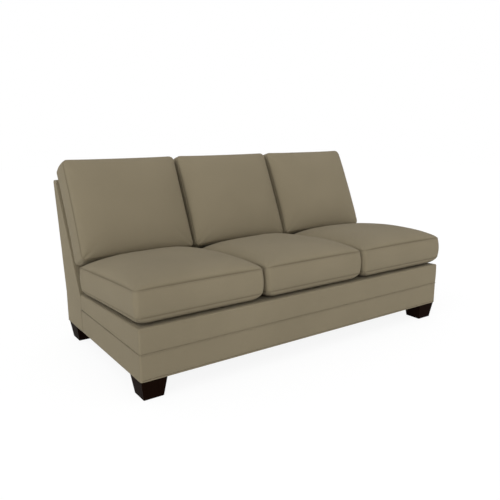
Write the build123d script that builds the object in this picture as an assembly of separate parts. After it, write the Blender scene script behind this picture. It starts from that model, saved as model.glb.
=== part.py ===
from build123d import *
import os
from math import atan2, cos, degrees, radians, sin, tan

# Three-seat armless sofa: a covered hardwood frame on four legs, a sprung seat deck, a raked
# back, three loose seat cushions and three loose back cushions. Millimetres, +X to the right,
# +Z up, and the front faces -Y. It is laid out from the middle of the base's front edge at the
# floor, with Y growing towards the back, and written out with the origin under its middle.

# ---- driving sizes: the covered frame, read from the side ----
BASE_WIDTH = 1780.0
LEG_HEIGHT = 85.0
BASE_TOP = 304.0  # top edge of the base, at the front
DECK_FALL = 2.7  # degrees that the deck and the base's top edge fall towards the back
BASE_SEAM = 197.0  # height of the welted seam round the base
BACK_START = 669.0  # front edge of the back's side panel
BACK_FOOT = 219.0  # depth of the back at its foot
RAKE_DROP = 10.5  # how far under the deck the inside of the back starts to lean
INSIDE_RAKE = 26.6  # degrees from upright
KINK_HEIGHT = 235.0  # height where the outside of the back starts to lean
BACK_TOP = 791.0
BACK_TOP_DEPTH = 42.2
EDGE_RADIUS = 8.0  # base corners and top edge
BACK_EDGE_RADIUS = 16.0

# ---- driving sizes: loose cushions, between their seams ----
END_INSET = 4.0  # seams of the end cushions, in from the base's sides
CUSHION_GAP = 3.0
SIDE_BULGE = 7.0
OPEN_SIDE_BULGE = 17.0  # on the sofa's two ends, where no neighbour presses
SEAM_DRAW = 4.0  # how far each seam pulls in between its corners
REST_CLEARANCE = 1.5  # under and behind a loose cushion
SEAT_BOXING = 121.0
SEAT_EXTRA_FALL = 0.9  # degrees that a seat cushion falls more than the deck
SEAT_FRONT = 6.0
SEAT_BACK_GAP = 36.0  # from a seat cushion's rear seam to the foot of the back
SEAT_LIFT = 23.0  # bottom seam over the deck, at the front
SEAT_CROWN = 72.0
SEAT_CORNER = 24.0
BACK_LENGTH = 496.0
BACK_BOXING = 110.0
BACK_UPRIGHT = 2.0  # degrees that a back cushion is more upright than the inside of the back
BACK_LIFT = 34.7  # bottom of a back cushion's front seam over the seat cushion's rear seam
BACK_EASE = 6.7  # from a back cushion's rear seam to the inside of the back, at the bottom
BACK_CROWN = 60.0
BACK_CORNER = 20.0
FACE_BULGE = 10.0  # boxing on the cushions' other three sides
REST_INSET = 45.0  # from the lower seam in to the flat that the cushion rests on
CROWN_REACH = 0.72  # how far the crown's rings close in, as a share of half the shorter side
CROWN_STEPS = ((0.09, 0.44, 0.8), (0.3, 0.74, 0.5), (0.62, 0.93, 0.25), (1.0, 1.0, 0.1))
CROWN_ROUNDING = 0.08  # how much a ring's corners open out for each millimetre that it closes in

# ---- coverings and fillings ----
COVER = 1.5
BATTING = 8.0
DECK_PAD = 12.0
FELT = 3.0
WEBBING = 1.5
BACK_BOARD = 3.0
SIDE_RETURN = 30.0  # cover turned over the rails beside the deck
FRONT_RETURN = 100.0
UNDER_RETURN = 21.5
WELT_RADIUS = 2.0
HEM_HEIGHT = 8.0
HEM_THICKNESS = 1.2
CORE_EASE = 1.0  # between a cushion's cover and its foam

# ---- timber ----
RAIL = 25.0
FRONT_RAIL = 28.0
REAR_RAIL_HEIGHT = 110.0
CROSS_MEMBER_HEIGHT = 84.0
TOP_RAIL = 18.0
BACK_RAIL_HEIGHT = 85.0
BACK_RAIL_LIFT = 20.0  # lower back rail above the start of the rake
BLOCK_LEG = 105.0
BLOCK_HEIGHT = 40.0
DOWEL_RADIUS = 5.0
DOWEL_LENGTH = 36.0
DOWEL_SPACING = 55.0  # between the two dowels in the end of a side rail
CROSS_DOWEL_SPACING = 27.5  # between the two in the end of a rail that crosses it
FIT_EASE = 0.1  # radial ease of dowels and bolts in their holes

# ---- springs and webbing ----
CLIP_SPACE = 10.0  # between the rails that carry springs and the felt over them
WIRE_RADIUS = 2.0
WIRE_EASE = 0.3
CLIP_PLATE = 1.2
CLIP_WIDTH = 20.0
CLIP_LENGTH = 16.0
SPRING_SPACING = 114.0
SPRING_EDGE = 55.0  # least distance from a side rail to the middle of a spring
SPRING_BAR = 26.0
SPRING_PITCH = 24.0
SPRING_END = 12.0  # end bar behind the rail's inner edge
TIE_RADIUS = 1.25
TIE_ROWS = 3
STRAP_WIDTH = 50.0
STRAPS_UP = 12
STRAPS_ACROSS = 4

# ---- legs and fixings ----
LEG_TOP = 113.0
LEG_FOOT = 88.0
LEG_INSET = 4.0
LEG_EDGE = 2.0
BOLT_RADIUS = 4.0
BOLT_IN_LEG = 40.0
NUT_FLANGE_RADIUS = 12.0
NUT_FLANGE = 2.0
NUT_BARREL_RADIUS = 5.0
NUT_BARREL = 12.0
STAPLE_CROWN = 12.0
STAPLE_WIRE = 1.2
STAPLE_SPACING = 62.0
ZIP_INSET = 78.0  # from each end of a cushion to its zip
ZIP_WIDTH = 8.0
ZIP_EASE = 0.2
PULL = (5.0, 22.0, 1.5)  # width, length and thickness of a zip's pull

# ---- values that follow from them ----
SEATS = {"left": -1, "centre": 0, "right": 1}
SIDES = {"left": -1, "right": 1}
HALF = BASE_WIDTH / 2
REAR = BACK_START + BACK_FOOT
RAKE_START = BASE_TOP - BACK_START * tan(radians(DECK_FALL)) - RAKE_DROP
TOP_FRONT = BACK_START + (BACK_TOP - RAKE_START) * tan(radians(INSIDE_RAKE))
TOP_REAR = TOP_FRONT + BACK_TOP_DEPTH
OUTSIDE_RAKE = degrees(atan2(TOP_REAR - REAR, BACK_TOP - KINK_HEIGHT))
FRAME_BOTTOM = LEG_HEIGHT + COVER
SIDE_SKIN = COVER + BATTING
FELT_TOP = COVER + DECK_PAD
RAIL_TOP = FELT_TOP + FELT
SPRING_SEAT = RAIL_TOP + CLIP_SPACE
BACK_SKIN = SIDE_SKIN + 2 * WEBBING
BOARD_SKIN = COVER + BACK_BOARD
POST_INSIDE = HALF - SIDE_SKIN - RAIL
SEAM_GAP = 2 * SIDE_BULGE + CUSHION_GAP
SEAT_PITCH = (BASE_WIDTH - 2 * END_INSET + SEAM_GAP) / len(SEATS)
CUSHION_WIDTH = SEAT_PITCH - SEAM_GAP
ZIP_LENGTH = CUSHION_WIDTH - 2 * ZIP_INSET
SEAT_FALL = DECK_FALL + SEAT_EXTRA_FALL
SEAT_LENGTH = (BACK_START - SEAT_FRONT - SEAT_BACK_GAP) / cos(radians(SEAT_FALL))
SEAT_SEAM_HEIGHT = BASE_TOP + SEAT_LIFT
SEAT_DROP = SEAT_LENGTH * sin(radians(SEAT_FALL)) - SEAT_BOXING * cos(radians(SEAT_FALL))
BACK_LEAN = INSIDE_RAKE - BACK_UPRIGHT
BACK_SEAM_HEIGHT = SEAT_SEAM_HEIGHT - SEAT_DROP + BACK_LIFT
TO_ORIGIN = Pos(0, -TOP_REAR / 2, 0)
DECK = Pos(0, 0, BASE_TOP) * Rot(-DECK_FALL, 0, 0)
RAKE = Pos(0, BACK_START, RAKE_START) * Rot(-INSIDE_RAKE, 0, 0)


def block(x, y, z):
    """A plain box between the low and high end given for each direction."""
    lengths = [high - low for low, high in (x, y, z)]
    return Pos(x[0], y[0], z[0]) * Box(*lengths, align=(Align.MIN, Align.MIN, Align.MIN))


def across(outline, x_low, x_high):
    """A piece with one side outline all the way across, from x_low to x_high."""
    return extrude(Plane.YZ.offset(x_low) * outline, x_high - x_low)


# ---- the covered forms that every layer of the base and the back is cut from ----
def deck_height(y, skin):
    """Height of the deck at y, with a skin taken off the top of it."""
    return BASE_TOP - y * tan(radians(DECK_FALL)) - skin / cos(radians(DECK_FALL))


def base_form(skin, top_skin, bottom=FRAME_BOTTOM):
    """The base as one block, with a skin taken off its front and sides and another off its top."""
    outline = Polygon(
        (skin, bottom),
        (BACK_START, bottom),
        (BACK_START, deck_height(BACK_START, top_skin)),
        (skin, deck_height(skin, top_skin)),
        align=None,
    )
    form = across(outline, skin - HALF, HALF - skin)
    if skin >= EDGE_RADIUS:
        return form
    rounded = form.edges().filter_by(Axis.Z).group_by(Axis.Y)[0]
    if skin == top_skin:
        rounded += form.faces().sort_by(Axis.Z)[-1].edges().sort_by(Axis.Y)[:-1]
    return fillet(rounded, EDGE_RADIUS - skin)


def inside_line(z, skin):
    """Distance back of the raked inside face at height z, with a skin taken off it."""
    return BACK_START + (z - RAKE_START) * tan(radians(INSIDE_RAKE)) + skin / cos(radians(INSIDE_RAKE))


def outside_line(z, skin):
    """Distance back of the raked outside face at height z, with a skin taken off it."""
    return REAR + (z - KINK_HEIGHT) * tan(radians(OUTSIDE_RAKE)) - skin / cos(radians(OUTSIDE_RAKE))


def back_outline(skin, rear_skin, bottom=FRAME_BOTTOM):
    """Side outline of the back, with one skin taken off its front and top and one off its rear."""
    top = BACK_TOP - skin
    kink = KINK_HEIGHT + rear_skin * tan(radians(OUTSIDE_RAKE) / 2)
    outline = Polygon(
        (BACK_START, bottom),
        (REAR - rear_skin, bottom),
        (REAR - rear_skin, kink),
        (outside_line(top, rear_skin), top),
        (inside_line(top, skin), top),
        (BACK_START, RAKE_START - skin / sin(radians(INSIDE_RAKE))),
        align=None,
    )
    front_top, rear_top = outline.vertices().sort_by(Axis.Y)[-2:].sort_by(Axis.X)
    rounded = [front_top, rear_top] if skin == rear_skin else [front_top]
    return fillet(rounded, BACK_EDGE_RADIUS - skin)


def rear_zone():
    """Everything behind the middle of the back, up to the seam under its rounded top."""
    seam = BACK_TOP - 2 * BACK_EDGE_RADIUS
    middle = (inside_line(seam, 0) + outside_line(seam, 0)) / 2
    far = TOP_REAR + BACK_FOOT
    outline = Polygon((BACK_START + BACK_FOOT / 2, 0), (far, 0), (far, seam), (middle, seam), align=None)
    return across(outline, -BASE_WIDTH, BASE_WIDTH)


# ---- timber frame ----
def dowels(ease=0.0):
    """Every dowel in the frame, or every dowel hole where an ease is given."""
    peg = Cylinder(DOWEL_RADIUS + ease, DOWEL_LENGTH + 2 * ease)
    along_y = peg.rotate(Axis.X, 90)
    along_x = peg.rotate(Axis.Y, 90)
    rail_middle = POST_INSIDE + RAIL / 2
    spring_rail = BACK_START - RAIL
    middle = FRAME_BOTTOM + REAR_RAIL_HEIGHT / 2
    placed = []
    for side in SIDES.values():
        for up in (-1, 1):
            z = middle + up * DOWEL_SPACING / 2
            placed += [Pos(side * rail_middle, y, z) * along_y for y in (SIDE_SKIN + FRONT_RAIL, BACK_START)]
            z = middle + up * CROSS_DOWEL_SPACING / 2
            for y in (spring_rail + RAIL / 2, REAR - BOARD_SKIN - RAIL / 2):
                placed.append(Pos(side * POST_INSIDE, y, z) * along_x)
        for y in (SIDE_SKIN + FRONT_RAIL, spring_rail):
            placed.append(Pos(side * SEAT_PITCH / 2, y, FRAME_BOTTOM + CROSS_MEMBER_HEIGHT / 2) * along_y)
        top_rail = (BACK_SKIN + TOP_RAIL / 2, rake_length() - BACK_RAIL_HEIGHT / 2)
        low_rail = (BACK_SKIN + RAIL / 2, BACK_RAIL_LIFT + BACK_RAIL_HEIGHT / 2)
        placed += [RAKE * Pos(side * POST_INSIDE, *rail) * along_x for rail in (top_rail, low_rail)]
    return placed


def rake_length():
    """Length of the inside face along its rake, up to the top of the timber."""
    return (BACK_TOP - BACK_SKIN - RAKE_START) / cos(radians(INSIDE_RAKE))


def drilled(board, holes):
    """A board with the dowel holes that reach into it."""
    for hole in holes:
        board -= hole
    return board


def seat_rails(holes):
    """Front, side, spring and rear rails, and the two members that cross between them."""
    behind_front = SIDE_SKIN + FRONT_RAIL
    spring_rail = BACK_START - RAIL
    over = (FRAME_BOTTOM, BASE_TOP)
    sprung = base_form(SIDE_SKIN, SPRING_SEAT)
    inner = (-POST_INSIDE, POST_INSIDE)
    rear = (REAR - BOARD_SKIN - RAIL, REAR - BOARD_SKIN)
    boards = {
        "frame_front_rail": sprung & block((-HALF, HALF), (0, behind_front), over),
        "frame_spring_rail": sprung & block(inner, (spring_rail, BACK_START), over),
        "frame_rear_rail": block(inner, rear, (FRAME_BOTTOM, FRAME_BOTTOM + REAR_RAIL_HEIGHT)),
    }
    for name, side in SIDES.items():
        reach = sorted((side * POST_INSIDE, side * HALF))
        rail = base_form(SIDE_SKIN, RAIL_TOP) & block(reach, (behind_front, BACK_START), over)
        boards["frame_side_rail_" + name] = rail
    boards = {name: drilled(board, holes) for name, board in boards.items()}
    member = block(
        (-RAIL / 2, RAIL / 2),
        (behind_front, spring_rail),
        (FRAME_BOTTOM, FRAME_BOTTOM + CROSS_MEMBER_HEIGHT),
    )
    members = [drilled(Pos(side * SEAT_PITCH / 2, 0, 0) * member, holes) for side in SIDES.values()]
    boards["frame_cross_members"] = members
    return boards


def back_timber(holes, rear_rail):
    """Outer posts, inner posts notched round the rails, and the two rails of the back."""
    outline = back_outline(BACK_SKIN, BOARD_SKIN)
    length = rake_length()
    inner = (-POST_INSIDE, POST_INSIDE)
    top_rail = RAKE * block(inner, (BACK_SKIN, BACK_SKIN + TOP_RAIL), (length - BACK_RAIL_HEIGHT, BACK_TOP))
    top_rail &= across(outline, *inner)
    low = (BACK_RAIL_LIFT, BACK_RAIL_LIFT + BACK_RAIL_HEIGHT)
    low_rail = RAKE * block(inner, (BACK_SKIN, BACK_SKIN + RAIL), low)
    pieces = {
        "back_top_rail": drilled(top_rail, holes),
        "back_lower_rail": drilled(low_rail, holes),
    }
    for name, side in SIDES.items():
        reach = sorted((side * POST_INSIDE, side * (POST_INSIDE + RAIL)))
        pieces["back_post_" + name] = drilled(across(outline, *reach), holes)
    inner_posts = []
    for side in SIDES.values():
        middle = side * SEAT_PITCH / 2
        post = across(outline, middle - RAIL / 2, middle + RAIL / 2)
        inner_posts.append(post - top_rail - low_rail - rear_rail)
    pieces["back_inner_posts"] = inner_posts
    return pieces


# ---- legs, their fixings and the blocks they bolt to ----
def leg_places():
    """Name, side, depth and depth direction of the middle of each leg."""
    reach = LEG_INSET + LEG_TOP / 2
    for depth_name, y, inward in (("front", reach, 1), ("rear", REAR - reach, -1)):
        for name, side in SIDES.items():
            yield f"{depth_name}_{name}", side * (HALF - reach), y, side, inward


def leg():
    """A square leg that tapers on all four sides, with its bolt hole."""
    top = Pos(0, 0, LEG_HEIGHT) * Rectangle(LEG_TOP, LEG_TOP)
    body = loft([Rectangle(LEG_FOOT, LEG_FOOT), top])
    slanted = body.edges().filter_by(lambda edge: abs(edge.tangent_at(0.5).Z) > sin(radians(45)))
    hole = Pos(0, 0, LEG_HEIGHT) * Cylinder(BOLT_RADIUS + FIT_EASE, 2 * (BOLT_IN_LEG + FIT_EASE))
    return fillet(slanted, LEG_EDGE) - hole


def leg_fixings():
    """Triangular corner blocks with a hanger bolt and a tee nut through each."""
    block_top = FRAME_BOTTOM + BLOCK_HEIGHT
    bolt_bottom = LEG_HEIGHT - BOLT_IN_LEG
    bolt_top = block_top + NUT_FLANGE
    bolt = Pos(0, 0, (bolt_bottom + bolt_top) / 2) * Cylinder(BOLT_RADIUS, bolt_top - bolt_bottom)
    bore = Cylinder(BOLT_RADIUS + FIT_EASE, 2 * LEG_HEIGHT)
    flange = Pos(0, 0, block_top + NUT_FLANGE / 2) * Cylinder(NUT_FLANGE_RADIUS, NUT_FLANGE)
    barrel = Pos(0, 0, block_top - NUT_BARREL / 2) * Cylinder(NUT_BARREL_RADIUS, NUT_BARREL)
    nut = flange + barrel - Pos(0, 0, block_top) * bore
    blocks, bolts, nuts = [], [], []
    for _, x, y, side, inward in leg_places():
        corner_x = side * POST_INSIDE
        corner_y = SIDE_SKIN + FRONT_RAIL if inward > 0 else REAR - BOARD_SKIN - RAIL
        triangle = Polygon(
            (corner_x, corner_y),
            (corner_x - side * BLOCK_LEG, corner_y),
            (corner_x, corner_y + inward * BLOCK_LEG),
            align=None,
        )
        corner = extrude(Pos(0, 0, FRAME_BOTTOM) * triangle, BLOCK_HEIGHT, dir=(0, 0, 1))
        barrel_hole = Pos(x, y, block_top) * Cylinder(NUT_BARREL_RADIUS + FIT_EASE, 2 * BLOCK_HEIGHT)
        blocks.append(corner - barrel_hole)
        bolts.append(Pos(x, y, 0) * bolt)
        nuts.append(Pos(x, y, 0) * nut)
    return blocks, bolts, nuts


# ---- seat springs, on the deck's own slope ----
def spring_span():
    """Where the springs' front and rear end bars lie, measured along the deck."""
    front = SIDE_SKIN + FRONT_RAIL - SPRING_END
    return front, BACK_START - RAIL + SPRING_END


def spring_places():
    """Distance to the side of every seat spring."""
    count = 1 + int(2 * (POST_INSIDE - SPRING_EDGE) / SPRING_SPACING)
    return [(index - (count - 1) / 2) * SPRING_SPACING for index in range(count)]


def wire_level():
    """Height of the spring wire's middle, under the deck's top."""
    return WIRE_RADIUS + WIRE_EASE + CLIP_PLATE - SPRING_SEAT


def seat_spring():
    """One sinuous spring: straight bars joined by half turns."""
    front, rear = spring_span()
    turns = 2 * round((rear - front) / SPRING_PITCH / 2)
    pitch = (rear - front) / turns
    edges = []
    for turn in range(turns + 1):
        y = front + turn * pitch
        end = SPRING_BAR / 2 if turn % 2 == 0 else -SPRING_BAR / 2
        edges.append(Line((-end, y), (end, y)))
        if turn < turns:
            bow = end + (pitch / 2 if end > 0 else -pitch / 2)
            edges.append(ThreePointArc((end, y), (bow, y + pitch / 2), (end, y + pitch)))
    path = Wire(edges)
    section = Plane(path @ 0, z_dir=path % 0) * Circle(WIRE_RADIUS)
    return sweep(section, path)


def spring_clip():
    """A bent steel clip, open towards the spring, that holds an end bar down on its rail."""
    inside = WIRE_RADIUS + WIRE_EASE
    outside = inside + CLIP_PLATE
    channel = block((-CLIP_WIDTH / 2, CLIP_WIDTH / 2), (-outside, CLIP_LENGTH - outside), (-outside, outside))
    gap = block((-CLIP_WIDTH, CLIP_WIDTH), (-inside, CLIP_LENGTH), (-inside, inside))
    return channel - gap


def springs_and_clips():
    """All the seat springs, their clips and the wires that tie them together."""
    front, rear = spring_span()
    spring = seat_spring()
    clip = spring_clip()
    springs, clips = [], []
    for x in spring_places():
        springs.append(DECK * Pos(x, 0, wire_level()) * spring)
        clips.append(DECK * Pos(x, front, wire_level()) * clip)
        clips.append(DECK * Pos(x, rear, wire_level()) * Rot(0, 0, 180) * clip)
    reach = 2 * spring_places()[-1] + SPRING_BAR
    tie = Cylinder(TIE_RADIUS, reach).rotate(Axis.Y, 90)
    drop = wire_level() - WIRE_RADIUS - WIRE_EASE - TIE_RADIUS
    spacing = (rear - front) / (TIE_ROWS + 1)
    ties = [DECK * Pos(0, front + (row + 1) * spacing, drop) * tie for row in range(TIE_ROWS)]
    return springs, clips, ties


# ---- soft layers and covers of the base ----
def base_layers():
    """Panels, deck cloth, pad, felt, batting and edge roll, each cut from the same base form."""
    outer = base_form(0, 0, LEG_HEIGHT)
    covered = base_form(COVER, COVER, LEG_HEIGHT)
    inner_half = HALF - SIDE_RETURN
    tall = (0, BASE_TOP + BATTING)
    deck_zone = block((-inner_half, inner_half), (FRONT_RETURN, BACK_START), (BASE_SEAM, tall[1]))
    front_zone = block((-HALF, HALF), (0, EDGE_RADIUS), tall)
    front_zone += block((-inner_half, inner_half), (0, FRONT_RETURN), tall)
    below = (0, BASE_SEAM - WELT_RADIUS)
    above = (BASE_SEAM + WELT_RADIUS, tall[1])
    shell = outer - covered
    underside = (LEG_HEIGHT, FRAME_BOTTOM)
    front_turn = block((-HALF, HALF), (0, UNDER_RETURN), underside) & covered
    front = (shell - deck_zone) & front_zone
    layers = {
        "base_front_upper_panel": front & block((-HALF, HALF), (0, BACK_START), above),
        "base_front_lower_panel": (front & block((-HALF, HALF), (0, BACK_START), below)) + front_turn,
        "deck_cloth": shell & deck_zone,
        "deck_pad": base_form(COVER, COVER) - base_form(COVER, FELT_TOP),
        "deck_insulator": base_form(SIDE_SKIN, FELT_TOP) - base_form(SIDE_SKIN, RAIL_TOP),
        "base_batting": base_form(COVER, FELT_TOP) - base_form(SIDE_SKIN, FELT_TOP),
    }
    edge = block((-HALF, HALF), (0, SIDE_SKIN + FRONT_RAIL - SPRING_END - CLIP_LENGTH / 2), tall)
    edge &= base_form(SIDE_SKIN, RAIL_TOP)
    layers["front_edge_roll"] = edge - base_form(SIDE_SKIN, SPRING_SEAT)
    sides = shell - deck_zone - front_zone
    for name, side in SIDES.items():
        reach = sorted((0, side * HALF))
        upper = sides & block(reach, (0, BACK_START), above)
        turn = block(sorted((side * (HALF - UNDER_RETURN), side * HALF)), (UNDER_RETURN, BACK_START), underside)
        lower = (sides & block(reach, (0, BACK_START), below)) + (turn & covered)
        layers["base_side_panels_" + name] = [upper, lower]
    return layers


def base_welt():
    """The corded seam round the front and sides, between the upper and lower panels."""
    proud = WELT_RADIUS - COVER
    side = HALF + proud
    corners = [(-side, BACK_START), (-side, -proud), (side, -proud), (side, BACK_START)]
    path = Pos(0, 0, BASE_SEAM) * FilletPolyline(*corners, radius=EDGE_RADIUS + proud)
    section = Plane(path @ 0, z_dir=path % 0) * Circle(WELT_RADIUS)
    return sweep(section, path)


def base_trim():
    """Front hem, dust cover and the staples that hold the dust cover."""
    hem_reach = HALF - EDGE_RADIUS
    hem = block((-hem_reach, hem_reach), (-HEM_THICKNESS, 0), (LEG_HEIGHT, LEG_HEIGHT + HEM_HEIGHT))
    edge = HALF - UNDER_RETURN
    dust_cover = block((-edge, edge), (UNDER_RETURN, REAR - UNDER_RETURN), (LEG_HEIGHT, FRAME_BOTTOM))
    for _, x, y, _, _ in leg_places():
        dust_cover -= Pos(x, y, LEG_HEIGHT) * Cylinder(NUT_BARREL_RADIUS, LEG_HEIGHT)
    staple = Pos(0, 0, LEG_HEIGHT - STAPLE_WIRE / 2) * Box(STAPLE_CROWN, STAPLE_WIRE, STAPLE_WIRE)
    turned = staple.rotate(Axis.Z, 90)
    inset = STAPLE_CROWN
    free_x = edge - LEG_TOP - STAPLE_SPACING / 2
    free_y = REAR / 2 - UNDER_RETURN - LEG_TOP - STAPLE_SPACING / 2
    staples = []
    across_count = int(2 * free_x / STAPLE_SPACING)
    deep_count = int(2 * free_y / STAPLE_SPACING)
    for index in range(across_count + 1):
        x = -free_x + 2 * free_x * index / across_count
        staples += [Pos(x, y, 0) * staple for y in (UNDER_RETURN + inset, REAR - UNDER_RETURN - inset)]
    for index in range(deep_count + 1):
        y = REAR / 2 - free_y + 2 * free_y * index / deep_count
        staples += [Pos(side * (edge - inset), y, 0) * turned for side in SIDES.values()]
    return hem, dust_cover, staples


# ---- soft layers and covers of the back ----
def back_layers():
    """Inside, outside and side covers, batting, stiffening board and webbing of the back."""
    rear = rear_zone()
    cover_half = HALF - COVER
    frame_half = HALF - SIDE_SKIN
    reach = (-cover_half, cover_half)
    inner_reach = (-frame_half, frame_half)
    outer = back_outline(0, 0, LEG_HEIGHT)
    covered = back_outline(COVER, COVER, LEG_HEIGHT)
    shell = across(outer, *reach) - across(covered, *reach)
    underside = (LEG_HEIGHT, FRAME_BOTTOM)
    rear_turn = block(reach, (REAR - UNDER_RETURN, REAR - COVER), underside)
    padded = back_outline(COVER, COVER)
    core = back_outline(SIDE_SKIN, BOARD_SKIN)
    board = across(padded, *inner_reach) - across(back_outline(COVER, BOARD_SKIN), *inner_reach)
    layers = {
        "inside_back_cover": shell - rear,
        "outside_back_cover": (shell & rear) + rear_turn,
        "outside_back_board": board & rear,
    }
    wrap = across(padded, *inner_reach) - across(core, *inner_reach) - rear
    batting = [wrap]
    for name, side in SIDES.items():
        batting.append(across(padded, *sorted((side * frame_half, side * cover_half))))
        panel = across(outer, *sorted((side * cover_half, side * HALF)))
        turn = block(
            sorted((side * (HALF - UNDER_RETURN), side * cover_half)),
            (BACK_START, REAR - UNDER_RETURN),
            underside,
        )
        layers["back_side_cover_" + name] = panel + turn
    layers["back_batting"] = batting
    layers["back_webbing"] = webbing(frame_half)
    return layers


def webbing(frame_half):
    """Straps across the posts, and straps up and down in front of them."""
    length = rake_length()
    upright = block((-STRAP_WIDTH / 2, STRAP_WIDTH / 2), (SIDE_SKIN, SIDE_SKIN + WEBBING), (BACK_RAIL_LIFT, length))
    spacing = 2 * (POST_INSIDE - STRAP_WIDTH) / (STRAPS_UP - 1)
    straps = [RAKE * Pos((index - (STRAPS_UP - 1) / 2) * spacing, 0, 0) * upright for index in range(STRAPS_UP)]
    level = block((-frame_half, frame_half), (SIDE_SKIN + WEBBING, BACK_SKIN), (0, STRAP_WIDTH))
    bottom = BACK_RAIL_LIFT + BACK_RAIL_HEIGHT
    spacing = (length - BACK_RAIL_HEIGHT - bottom) / STRAPS_ACROSS
    for index in range(STRAPS_ACROSS):
        straps.append(RAKE * Pos(0, 0, bottom + (index + 0.5) * spacing - STRAP_WIDTH / 2) * level)
    return straps


# ---- loose cushions ----
def drawn_side(start, end, inward):
    """One side of a section, pulled in at its middle, or straight where nothing pulls it."""
    if inward == (0, 0):
        return Line(start, end)
    middle = tuple((low + high) / 2 + pull for low, high, pull in zip(start, end, inward))
    return ThreePointArc(start, middle, end)


def rounded_section(plane, x, y, corner, draw=0):
    """A rounded rectangle on a plane whose four sides pull in between its corners."""
    (left, right), (front, rear) = x, y
    nick = corner * (1 - cos(radians(45)))
    corners = (
        ((right - corner, front), (right - nick, front + nick), (right, front + corner)),
        ((right, rear - corner), (right - nick, rear - nick), (right - corner, rear)),
        ((left + corner, rear), (left + nick, rear - nick), (left, rear - corner)),
        ((left, front + corner), (left + nick, front + nick), (left + corner, front)),
    )
    pulls = ((-draw, 0), (0, -draw), (draw, 0), (0, draw))
    edges = []
    for index, arc in enumerate(corners):
        following = corners[(index + 1) % len(corners)]
        edges.append(ThreePointArc(*arc))
        edges.append(drawn_side(arc[-1], following[0], pulls[index]))
    return plane * make_face(edges)


def cushion_form(seam, rest, length, boxing, crown, corner, bulges, skin):
    """A boxed cushion: flat where it rests, bulged between its two seams and crowned above."""
    half = CUSHION_WIDTH / 2 - skin
    x, y = (-half, half), (skin, length - skin)
    lower = rounded_section(seam, x, y, corner, SEAM_DRAW)
    middle_x = (x[0] - bulges[0], x[1] + bulges[1])
    middle_y = (y[0] - FACE_BULGE, y[1] + FACE_BULGE)
    middle = rounded_section(seam.offset(boxing / 2), middle_x, middle_y, corner + FACE_BULGE)
    upper = rounded_section(seam.offset(boxing), x, y, corner, SEAM_DRAW)
    flat_x = (x[0] + REST_INSET, x[1] - REST_INSET)
    flat_y = (y[0] + REST_INSET, y[1] - REST_INSET)
    flat = rounded_section(rest.offset(skin), flat_x, flat_y, corner)
    rings = [upper]
    for inset, lift, draw in CROWN_STEPS:
        inward = inset * CROWN_REACH * min(CUSHION_WIDTH, length) / 2
        rings.append(
            rounded_section(
                seam.offset(boxing + lift * (crown - skin)),
                (x[0] + inward, x[1] - inward),
                (y[0] + inward, y[1] - inward),
                corner + inward * CROWN_ROUNDING,
                SEAM_DRAW * draw,
            )
        )
    return loft([flat, lower]) + loft([lower, middle, upper]) + loft(rings)


def cushion(seam, rest, length, boxing, crown, corner, bulges, zip_at):
    """Cover, foam core and zip of one cushion."""
    sizes = (seam, rest, length, boxing, crown, corner, bulges)
    outside = cushion_form(*sizes, 0.0)
    cover = outside - cushion_form(*sizes, COVER)
    core = cushion_form(*sizes, COVER + CORE_EASE)
    slot = Box(ZIP_LENGTH + 2 * ZIP_EASE, 2 * COVER + CORE_EASE, ZIP_WIDTH + 2 * ZIP_EASE)
    chain = Pos(0, -COVER / 2 * zip_at, 0) * Box(ZIP_LENGTH, COVER, ZIP_WIDTH)
    middle_y = length + FACE_BULGE if zip_at > 0 else -FACE_BULGE
    place = seam.location * Pos(0, middle_y, boxing / 2)
    pull = Pos(ZIP_LENGTH / 2 - PULL[1], PULL[2] / 2 * zip_at, 0) * Box(PULL[1], PULL[2], PULL[0])
    return cover - place * slot, core, place * (chain + pull)


def cushion_bulges(place):
    """Bulge of the boxing on the left and on the right of one cushion."""
    return tuple(OPEN_SIDE_BULGE if place == side else SIDE_BULGE for side in (-1, 1))


def seat_cushion(place):
    """A seat cushion, on the deck, with its zip at the back."""
    fall = radians(SEAT_FALL)
    deck_fall = radians(DECK_FALL)
    x = place * SEAT_PITCH
    seam = Plane((x, SEAT_FRONT, SEAT_SEAM_HEIGHT), x_dir=(1, 0, 0), z_dir=(0, sin(fall), cos(fall)))
    rest_height = deck_height(SEAT_FRONT, -REST_CLEARANCE)
    rest = Plane((x, SEAT_FRONT, rest_height), x_dir=(1, 0, 0), z_dir=(0, sin(deck_fall), cos(deck_fall)))
    bulges = cushion_bulges(place)
    return cushion(seam, rest, SEAT_LENGTH, SEAT_BOXING, SEAT_CROWN, SEAT_CORNER, bulges, 1)


def back_cushion(place):
    """A back cushion, against the raked inside of the back, with its zip at the bottom."""
    lean = radians(BACK_LEAN)
    rake = radians(INSIDE_RAKE)
    x = place * SEAT_PITCH
    facing = (0, -cos(lean), sin(lean))
    under = BACK_SEAM_HEIGHT - BACK_BOXING * sin(lean)
    behind = inside_line(under, 0) - BACK_EASE
    seam = Plane((x, behind, under), x_dir=(1, 0, 0), z_dir=facing)
    rest_depth = inside_line(under, -REST_CLEARANCE)
    rest = Plane((x, rest_depth, under), x_dir=(1, 0, 0), z_dir=(0, -cos(rake), sin(rake)))
    bulges = cushion_bulges(place)
    return cushion(seam, rest, BACK_LENGTH, BACK_BOXING, BACK_CROWN, BACK_CORNER, bulges, -1)


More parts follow.
